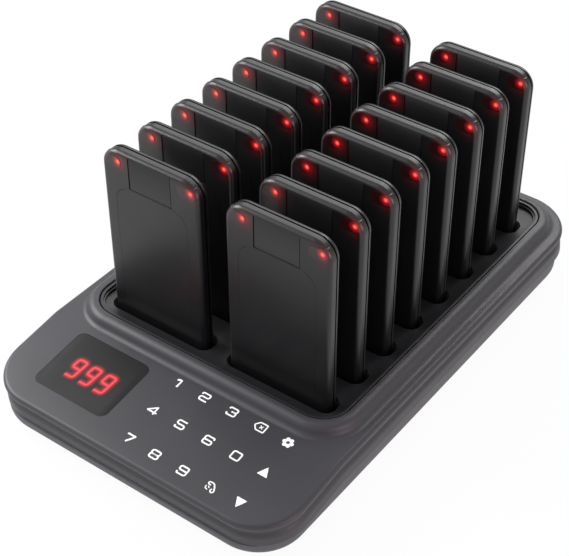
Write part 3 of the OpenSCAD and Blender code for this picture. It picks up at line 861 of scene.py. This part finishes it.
@dataclass
class Keypad:
    """Fifteen symbols printed on the sloped deck.

    Lengths are in mm, but for the corners, the arrow and the gear, which are
    shares of a symbol's cell.
    """

    plane: KeypadPlane = field(default_factory=KeypadPlane)
    width: float = 4.3
    height: float = 4.1
    line: float = 0.84
    ink: float = 0.05
    lift: float = 0.01
    corner: float = 0.22
    sharp_corner: float = 0.06
    hook: float = 0.24
    arrow_half: float = 0.6
    arrow_foot: float = 0.58
    arrow_tip: float = 0.64
    arrow_corner: float = 0.1
    lobes: int = 6
    lobe_out: float = 0.43
    lobe_radius: float = 0.23
    hub_radius: float = 0.19
    places: dict[Symbol, Point] = field(
        default_factory=lambda: {
            Symbol.ONE: (-4.3, -86.0),
            Symbol.TWO: (11.1, -85.8),
            Symbol.THREE: (26.5, -85.8),
            Symbol.BACKSPACE: (41.8, -85.8),
            Symbol.SETTINGS: (56.8, -86.2),
            Symbol.FOUR: (-3.4, -103.7),
            Symbol.FIVE: (11.8, -103.5),
            Symbol.SIX: (27.2, -103.7),
            Symbol.ZERO: (42.4, -103.8),
            Symbol.UP: (57.7, -103.8),
            Symbol.SEVEN: (-2.6, -121.5),
            Symbol.EIGHT: (12.6, -122.1),
            Symbol.NINE: (28.2, -122.2),
            Symbol.CALL: (43.1, -122.3),
            Symbol.DOWN: (58.1, -122.3),
        }
    )

    def strokes(self, symbol: Symbol) -> list[Stroke]:
        """Draws a symbol's centre lines on a unit cell.

        Args:
            symbol: the symbol to draw.

        Returns:
            Its lines, or none where the symbol is a solid one.
        """
        # half the cell, a hook's height, and the radii of a round and a sharp corner
        a, h, c, k = 0.5, self.hook, self.corner, self.sharp_corner
        pointer = [(-0.68, 0), (-0.28, 0.53), (0.64, 0.53), (0.64, -0.53), (-0.28, -0.53)]
        handset = [(-0.44, 0.46), (0.1, 0.56), (0.5, 0.02), (0.66, -0.42), (0.44, -0.58)]
        lines: dict[Symbol, list[Stroke]] = {
            Symbol.ONE: [Stroke([(-0.3, 0.36), (-0.1, a), (0.2, a), (0.2, -a)], k, 1.15)],
            Symbol.TWO: [
                Stroke([(-a, a - h), (-a, a), (a, a), (a, 0), (-a, 0), (-a, -a), (a, -a)], c)
            ],
            Symbol.THREE: [
                Stroke([(-a, a - h), (-a, a), (a, a), (a, 0), (-0.12, 0)], c),
                Stroke([(0.1, 0), (a, 0), (a, -a), (-a, -a), (-a, h - a)], c),
            ],
            Symbol.FOUR: [
                Stroke([(0.22, -0.54), (0.22, 0.54), (-0.66, -0.24), (0.54, -0.24)], k, 0.95)
            ],
            Symbol.FIVE: [
                Stroke([(a, a), (-a, a), (-a, 0), (a, 0), (a, -a), (-a, -a), (-a, h - a)], c)
            ],
            Symbol.SIX: [
                Stroke([(a, a - h), (a, a), (-a, a), (-a, -a), (a, -a), (a, 0), (-a, 0)], c)
            ],
            Symbol.SEVEN: [Stroke([(-a, a), (a, a), (-0.12, -a)], k, 1.1)],
            Symbol.EIGHT: [
                Stroke([(-a, a), (a, a), (a, 0), (-a, 0)], c, closed=True),
                Stroke([(-a, 0), (a, 0), (a, -a), (-a, -a)], c, closed=True),
            ],
            Symbol.NINE: [
                Stroke([(-a, h - a), (-a, -a), (a, -a), (a, a), (-a, a), (-a, 0), (a, 0)], c)
            ],
            Symbol.ZERO: [Stroke([(-a, -a), (a, -a), (a, a), (-a, a)], c, closed=True)],
            Symbol.BACKSPACE: [
                Stroke(pointer, 0.1, 0.85, closed=True),
                Stroke([(-0.06, 0.19), (0.3, -0.19)], weight=0.6),
                Stroke([(-0.06, -0.19), (0.3, 0.19)], weight=0.6),
            ],
            Symbol.CALL: [
                # the handset's body, its ear and mouth pieces, and the sound arc
                Stroke(handset, 0.3, 0.85),
                Stroke([(-0.44, 0.46), (-0.4, 0.2), (-0.06, 0.16)], 0.12, 0.75),
                Stroke([(0.44, -0.58), (0.22, -0.42), (0.3, -0.16)], 0.12, 0.75),
                Stroke([(-0.44, -0.06), (-0.4, -0.4), (-0.06, -0.46)], 0.14, 0.6),
                Stroke([(-0.22, -0.02), (-0.02, -0.2)], weight=0.6),
            ],
        }
        return lines.get(symbol, [])

    def outlines(self, symbol: Symbol) -> list[Stroke]:
        """Draws a solid symbol's closed outlines on a unit cell.

        Args:
            symbol: the symbol to draw.

        Returns:
            Its outlines, or none where the symbol is drawn in lines.
        """
        wide, foot, tip = self.arrow_half, self.arrow_foot, self.arrow_tip
        up = [(-wide, -foot), (wide, -foot), (0.0, tip)]
        down = [(-wide, foot), (0.0, -tip), (wide, foot)]
        solids = {
            Symbol.UP: [Stroke(up, self.arrow_corner, closed=True)],
            Symbol.DOWN: [Stroke(down, self.arrow_corner, closed=True)],
            Symbol.SETTINGS: self.gear(),
        }
        return solids.get(symbol, [])

    def gear(self, steps: int = 72) -> list[Stroke]:
        """Draws the gear: round lobes about a hole, on a unit cell.

        Args:
            steps: the number of points in each outline.

        Returns:
            The outline of the lobes and that of the hole.
        """
        turns = [2 * math.pi * i / steps for i in range(steps)]
        half = math.pi / self.lobes
        rim = []
        for turn in turns:
            # the angle from the middle of the nearest lobe, and the rim's radius there
            off = (turn + half) % (2 * half) - half
            near, aside = self.lobe_out * math.cos(off), self.lobe_out * math.sin(off)
            rim.append(near + math.sqrt(self.lobe_radius**2 - aside**2))
        hub = self.hub_radius
        lobes = [(r * math.cos(t), r * math.sin(t)) for r, t in zip(rim, turns)]
        hole = [(hub * math.cos(-t), hub * math.sin(-t)) for t in turns]
        return [Stroke(lobes, closed=True), Stroke(hole, closed=True)]

    def mesh(self, symbol: Symbol) -> bpy.types.Mesh:
        """Makes a symbol's ink as a thin domed mesh, laid on the sloped deck.

        Args:
            symbol: the symbol to print.

        Returns:
            Its mesh, in metres in the shared frame.
        """
        solids = self.outlines(symbol)
        curve = bpy.data.curves.new(symbol.value, "CURVE")
        curve.dimensions = "2D" if solids else "3D"
        for stroke in [*self.strokes(symbol), *solids]:
            spline = curve.splines.new("POLY")
            path = stroke.path()
            spline.points.add(len(path) - 1)
            for target, (x, y) in zip(spline.points, path):
                target.co = (x * self.width, y * self.height, 0.0, 1.0)
                target.radius = stroke.weight
            spline.use_cyclic_u = stroke.closed
        if solids:
            curve.fill_mode = "BOTH"
            curve.extrude = self.ink / 2
        else:
            curve.bevel_depth = self.line / 2
            curve.bevel_resolution = 3
            curve.use_fill_caps = True
        holder = bpy.data.objects.new(symbol.value, curve)
        mesh = bpy.data.meshes.new_from_object(holder)
        bpy.data.objects.remove(holder)
        bpy.data.curves.remove(curve)
        flat = 1.0 if solids else self.ink / (self.line / 2)
        x0, y0 = self.places[symbol]
        turn = self.plane.matrix()
        for vertex in mesh.vertices:
            x, y, z = vertex.co
            spot = Vector((x + x0, y + y0, self.plane.height + z * flat + self.lift))
            vertex.co = turn @ (spot * MM)
        for polygon in mesh.polygons:
            polygon.use_smooth = not solids
        mesh.update()
        return mesh

    def build(self) -> None:
        """Prints every symbol on the deck."""
        for symbol in self.places:
            piece = mesh_piece(symbol.value, self.mesh(symbol), INK.material())
            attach(piece, "base")


# ----------------------------------------------------------------- display
@dataclass
class Display:
    """The smoked window, the module under it and the three lit digits.

    The profile gives the digits' light across a line: how far from its middle,
    in halves of the line's width, and how bright.
    """

    plane: KeypadPlane = field(default_factory=KeypadPlane)
    centres_x: tuple[float, float, float] = (-49.1, -40.4, -31.7)
    middle_y: float = -104.05
    width: float = 4.7
    height: float = 10.2
    line: float = 1.95
    corner: float = 1.4
    profile: tuple[Point, ...] = ((2.4, 0.0), (1.7, 0.14), (1.1, 0.45), (0.5, 0.88))
    window_drop: float = 0.1
    rise: float = 0.05
    edge_rise: float = 0.2
    slant: float = 0.06
    smooth_angle: float = 40.0
    window_edge: float = 0.3

    def build(self) -> None:
        """Makes the digits and dresses the window and the module."""
        for index, x0 in enumerate(self.centres_x):
            mesh = self.digit(f"digit_{index + 1}", x0)
            piece = mesh_piece(f"digit_{index + 1}", mesh, SEGMENT.material())
            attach(piece, "base")
        dress("display_window", WINDOW, self.smooth_angle, self.window_edge)
        dress("display_module", FACE, self.smooth_angle)

    def digit(self, name: str, x0: float) -> bpy.types.Mesh:
        """Makes one nine as soft-edged ribbons.

        Args:
            name: the mesh's name.
            x0: the digit's middle along the deck, in mm.

        Returns:
            The mesh, with its glow attribute.
        """
        a, b = self.width / 2, self.height / 2
        path = rounded([(-a, -b), (a, -b), (a, b), (-a, b), (-a, 0), (a, 0)], self.corner)
        left = [(-off, light) for off, light in self.profile]
        profile = [*left, (0.0, 1.0), *reversed(self.profile)]
        shape = bmesh.new()
        glow = shape.verts.layers.float.new("glow")
        rows: list[list[bmesh.types.BMVert]] = []
        turn = self.plane.matrix()
        for i, point in enumerate(path):
            along = direction(path, i)
            side = Vector((-along.y, along.x))
            row = []
            for off, light in profile:
                spot = Vector(point) + side * off * self.line / 2
                x = spot.x + spot.y * self.slant + x0
                share = self.edge_rise + (1 - self.edge_rise) * light
                z = self.plane.height - self.window_drop + self.rise * share
                vertex = shape.verts.new(turn @ (Vector((x, spot.y + self.middle_y, z)) * MM))
                vertex[glow] = light
                row.append(vertex)
            rows.append(row)
        bridge(shape, rows, smooth=True)
        bmesh.ops.recalc_face_normals(shape, faces=shape.faces)
        return finished_mesh(name, shape)


# -------------------------------------------------------------- assemblies
@dataclass
class Base:
    """The two shells, the slot tray and what is fixed inside them."""

    finishes: dict[str, Finish] = field(
        default_factory=lambda: {
            "top_shell": SHELL,
            "bottom_shell": HULL,
            "slot_tray": TRAY,
            "keypad_board": BOARD,
            "charging_board": BOARD,
            "charge_contacts": GOLD,
            "rubber_feet": RUBBER,
            "case_screws": STEEL,
            "dc_jack": TRAY,
            "antenna": COPPER,
        }
    )
    broken_edges: dict[str, float] = field(default_factory=lambda: {"slot_tray": 0.3})

    def build(self) -> None:
        """Dresses every solid of the base."""
        for node, finish in self.finishes.items():
            dress(node, finish, edge=self.broken_edges.get(node, 0.0))


@dataclass
class Pager:
    """One pager: two covers, the core with its two lenses, and the label panel.

    The seams are near-black strips of painted shade beside the panel's neck and
    over its shoulders, where the gaps round the panel lie, and the ledge is the
    fine ridge that the panel's top edge makes under the neck. Lengths are in mm.
    """

    number: int
    sizes: PagerSizes = field(default_factory=PagerSizes.from_frame)
    panel_narrow: float = 0.0015
    panel_proud: float = 0.02
    panel_edge: float = 0.1
    panel_edge_angle: float = 30.0
    seam_w: float = 0.26
    seam_drop: float = 1.5
    shoulder_seam_w: float = 0.24
    shoulder_tip_w: float = 0.02
    shoulder_end: float = 38.0
    ledge_w: float = 0.55
    ledge_rise: float = 0.16
    ledge_drop: float = 0.3
    ledge_past: tuple[float, float] = (3.0, 1.0)
    strip_crest: float = 0.3

    def spot(self, across: float, drop: float, out: float) -> Vector:
        """Turns a place on the front face to the shared frame.

        Args:
            across: distance from the pager's middle, to the right.
            drop: distance below the pager's top edge.
            out: distance in front of the face.

        Returns:
            The point, in metres.
        """
        side = 1 if self.number % 2 else -1
        row = (self.number - 1) // 2
        y = self.sizes.row_y + row * self.sizes.pitch_y - self.sizes.face_drop
        x = side * self.sizes.file_x + across
        return Vector((x, y - out, self.sizes.top - drop)) * MM

    def panel_outline(self) -> list[Point]:
        """Draws the label panel's outline: round shoulders and a squarer foot.

        Returns:
            The outline, as across and drop, from the right shoulder on.
        """
        z = self.sizes
        corners = (
            (z.panel_half, z.panel_drop, z.panel_corner, 0),
            (z.panel_half, z.panel_end, z.panel_foot, 90),
            (-z.panel_half, z.panel_end, z.panel_foot, 180),
            (-z.panel_half, z.panel_drop, z.panel_corner, 270),
        )
        out: list[Point] = []
        for x, drop, r, start in corners:
            cx = x - math.copysign(r, x)
            cd = drop + r if drop < z.panel_end else drop - r
            for step in range(CORNER_CHORDS + 1):
                turn = math.radians(start + step * 90 / CORNER_CHORDS)
                out.append((cx + r * math.sin(turn), cd - r * math.cos(turn)))
        return out

    def panel(self) -> bpy.types.Mesh:
        """Makes the label panel as a thin plate, flush with the face round it.

        Returns:
            The panel's mesh, with its ledge.
        """
        z = self.sizes
        shape = bmesh.new()
        outline = [(x * (1 - self.panel_narrow), drop) for x, drop in self.panel_outline()]
        rims = []
        for out in (0.0, self.panel_proud - z.panel_sink):
            rims.append([shape.verts.new(self.spot(x, drop, out)) for x, drop in outline])
            shape.faces.new(rims[-1])
        bridge(shape, [[*rim, rim[0]] for rim in rims], smooth=False)
        bmesh.ops.recalc_face_normals(shape, faces=shape.faces)
        drop = z.panel_drop - self.ledge_drop
        left, right = self.ledge_past
        ledge = [(-z.neck_half - left, drop), (z.neck_half + right, drop)]
        self.strip(shape, ledge, self.ledge_w, self.ledge_w, self.ledge_rise)
        return finished_mesh("label_panel", shape)

    def seams(self) -> bpy.types.Mesh:
        """Makes the strips of painted shade along the gaps beside the panel's neck and over its
        shoulders.

        Returns:
            The mesh of all four strips of painted seam shade.
        """
        z = self.sizes
        # the right shoulder's round, from its third point, and the straight side below it
        corner = self.panel_outline()[2 : CORNER_CHORDS + 1]
        shoulder = [*corner, (z.panel_half, self.shoulder_end)]
        neck = [(z.neck_half, self.seam_drop), (z.neck_half, z.panel_drop)]
        lines = (
            (neck, self.seam_w, self.seam_w),
            (shoulder, self.shoulder_seam_w, self.shoulder_tip_w),
        )
        shape = bmesh.new()
        for points, start_w, end_w in lines:
            for side in (-1.0, 1.0):
                turned = [(side * across, drop) for across, drop in points]
                self.strip(shape, turned, start_w, end_w)
        return finished_mesh("panel_seam_shade", shape)

    def strip(
        self,
        shape: bmesh.types.BMesh,
        points: Sequence[Point],
        start_w: float,
        end_w: float,
        rise: float = 0.02,
    ) -> None:
        """Adds a thin strip along a path on the face, with its own faces to the front.

        Args:
            shape: the mesh that gets the strip.
            points: the path, as across and drop.
            start_w: the strip's width where the path starts.
            end_w: its width where the path ends.
            rise: how far its middle stands out of the face.
        """
        crest = self.strip_crest
        section = ((-1, 0.0), (-crest, rise), (crest, rise), (1, 0.0))
        rows = []
        for i, point in enumerate(points):
            along = direction(points, i)
            share = i / (len(points) - 1)
            half = (start_w + (end_w - start_w) * share) / 2
            side = Vector((-along.y, along.x)) * half
            spots = [(Vector(point) + side * k, out) for k, out in section]
            rows.append([shape.verts.new(self.spot(*spot, out)) for spot, out in spots])
        bridge(shape, rows, smooth=False)

    def build(self) -> None:
        """Dresses the pager's three solids, and lays its label panel and the painted shade of its
        seams in.
        """
        stem = f"pager_{self.number:02d}"
        dress(f"{stem}_front_cover", COVER)
        dress(f"{stem}_back_cover", BACK)
        dress(f"{stem}_core", LENS)
        panel = mesh_piece(f"{stem}_label_panel", self.panel(), COVER.material())
        bevel(panel, self.panel_edge, self.panel_edge_angle)
        # painted shade: near-black strips laid on the face along the gaps round the label panel
        seams = mesh_piece(f"{stem}_panel_seam_shade", self.seams(), SEAM_SHADE.material())
        for piece in (panel, seams):
            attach(piece, stem)


# ------------------------------------------------------------------ studio
@dataclass(frozen=True)
class SoftBox:
    """A rectangular soft light: where it stands, what it faces and how strong it is."""

    name: str
    place: Place
    aim: Place
    size: tuple[float, float]
    power: float
    colour: str = "#ffffff"


@dataclass
class Studio:
    """Plain pale floor, soft light and the camera at the photograph's angle.

    Places are in metres, angles in degrees, the lens and the sensor in mm.
    """

    camera_place: Place = (0.31323, -0.43283, 0.47555)
    azimuth: float = 36.669
    elevation: float = 39.498
    roll: float = 0.1325
    lens: float = 91.79
    sensor: float = 36.0
    clip: tuple[float, float] = (0.05, 30.0)
    floor_grey: float = 0.8
    floor_half: float = 6.0
    floor_white: float = 0.95
    world_light: float = 0.6
    boxes: tuple[SoftBox, ...] = (
        SoftBox("back_left", (-0.561, 0.745, 0.805), (0.0, 0.0, 0.05), (0.6, 0.5), 2.4),
        SoftBox("back", (0.0, 0.892, 0.853), (0.0, 0.0, 0.05), (0.7, 0.5), 6.5),
        SoftBox("top_left", (-0.55, -0.2, 1.1), (0.0, 0.0, 0.08), (0.45, 0.4), 0.8),
        SoftBox("front_left", (-0.54, -0.744, 0.82), (0.0, 0.0, 0.08), (0.5, 0.4), 0.5),
        SoftBox("near_left", (-0.5, -0.2, 0.38), (0.0, -0.05, 0.03), (0.4, 0.3), 3.9),
        SoftBox("right_low", (1.15, -0.2, 0.34), (0.0, 0.0, 0.05), (0.6, 0.4), 3.6, "#ffd8e6"),
    )

    def build(self) -> None:
        """Makes the floor, the lights, the world and the camera."""
        self.floor()
        self.world()
        for box in self.boxes:
            self.light(box)
        self.camera()
        LOG.info("set up the studio")

    def floor(self) -> None:
        """Makes the floor, which shows white and keeps the object's shadow."""
        material = bpy.data.materials.new("studio_floor")
        material.use_nodes = True
        tree = material.node_tree
        tree.nodes.clear()
        grey = (self.floor_grey, self.floor_grey, self.floor_grey, 1.0)
        lit = add(tree, "ShaderNodeBsdfDiffuse", {"Color": grey})
        white = add(tree, "ShaderNodeEmission", {"Strength": 1.0})
        rays = add(tree, "ShaderNodeLightPath").outputs
        inputs = {0: rays["Is Camera Ray"], 1: rays["Is Glossy Ray"]}
        seen = add(tree, MATH, inputs, operation="MAXIMUM")
        inputs = {0: seen, 1: rays["Is Transmission Ray"]}
        seen = add(tree, MATH, inputs, operation="MAXIMUM")
        share = add(tree, MATH, {0: seen, 1: self.floor_white}, operation="MULTIPLY")
        mixed = add(tree, "ShaderNodeMixShader", {0: share, 1: lit, 2: white})
        add(tree, "ShaderNodeOutputMaterial", {"Surface": mixed})
        shape = bmesh.new()
        bmesh.ops.create_grid(shape, x_segments=8, y_segments=8, size=self.floor_half)
        mesh = bpy.data.meshes.new("studio_floor")
        shape.to_mesh(mesh)
        shape.free()
        piece = mesh_piece("studio_floor", mesh, material)

    def world(self) -> None:
        """Makes the white surround, which lights the object more weakly than it shows."""
        world = bpy.data.worlds.new("studio_world")
        bpy.context.scene.world = world
        world.use_nodes = True
        tree = world.node_tree
        tree.nodes.clear()
        rays = add(tree, "ShaderNodeLightPath").outputs
        inputs = {0: rays["Is Camera Ray"], 1: rays["Is Transmission Ray"]}
        seen = add(tree, MATH, inputs, operation="MAXIMUM")
        inputs = {0: seen, 1: 1.0 - self.world_light, 2: self.world_light}
        power = add(tree, MATH, inputs, operation="MULTIPLY_ADD")
        inputs = {"Color": linear("#ffffff"), "Strength": power}
        sky = add(tree, "ShaderNodeBackground", inputs)
        add(tree, "ShaderNodeOutputWorld", {"Surface": sky})

    def light(self, box: SoftBox) -> None:
        """Hangs one soft box.

        Args:
            box: its place, aim, size and power.
        """
        lamp = bpy.data.lights.new(box.name, "AREA")
        lamp.shape = "RECTANGLE"
        lamp.size, lamp.size_y = box.size
        lamp.energy = box.power
        lamp.color = linear(box.colour)[:3]
        holder = bpy.data.objects.new(box.name, lamp)
        bpy.context.scene.collection.objects.link(holder)
        holder.location = box.place
        towards = Vector(box.aim) - Vector(box.place)
        holder.rotation_euler = towards.to_track_quat("-Z", "Y").to_euler()

    def camera(self) -> None:
        """Places the camera where the photograph was taken from."""
        data = bpy.data.cameras.new("camera")
        data.lens = self.lens
        data.sensor_width = self.sensor
        data.sensor_fit = "HORIZONTAL"
        data.clip_start, data.clip_end = self.clip
        camera = bpy.data.objects.new("camera", data)
        bpy.context.scene.collection.objects.link(camera)
        a, e = math.radians(self.azimuth), math.radians(self.elevation)
        ahead = Vector((-math.sin(a) * math.cos(e), math.cos(a) * math.cos(e), -math.sin(e)))
        turn = ahead.to_track_quat("-Z", "Y").to_matrix().to_4x4()
        turn = turn @ Matrix.Rotation(math.radians(-self.roll), 4, "Z")
        camera.matrix_world = Matrix.Translation(self.camera_place) @ turn
        bpy.context.scene.camera = camera


def main() -> None:
    """Builds the studio and dresses every sub-assembly in order."""
    logging.basicConfig(level=logging.INFO, format="%(name)s: %(message)s")
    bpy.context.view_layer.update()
    bpy.context.scene.view_settings.view_transform = "Standard"
    Studio().build()
    Base().build()
    Keypad().build()
    Display().build()
    for number in range(1, PAGER_COUNT + 1):
        Pager(number).build()


if __name__ == "__main__":
    main()
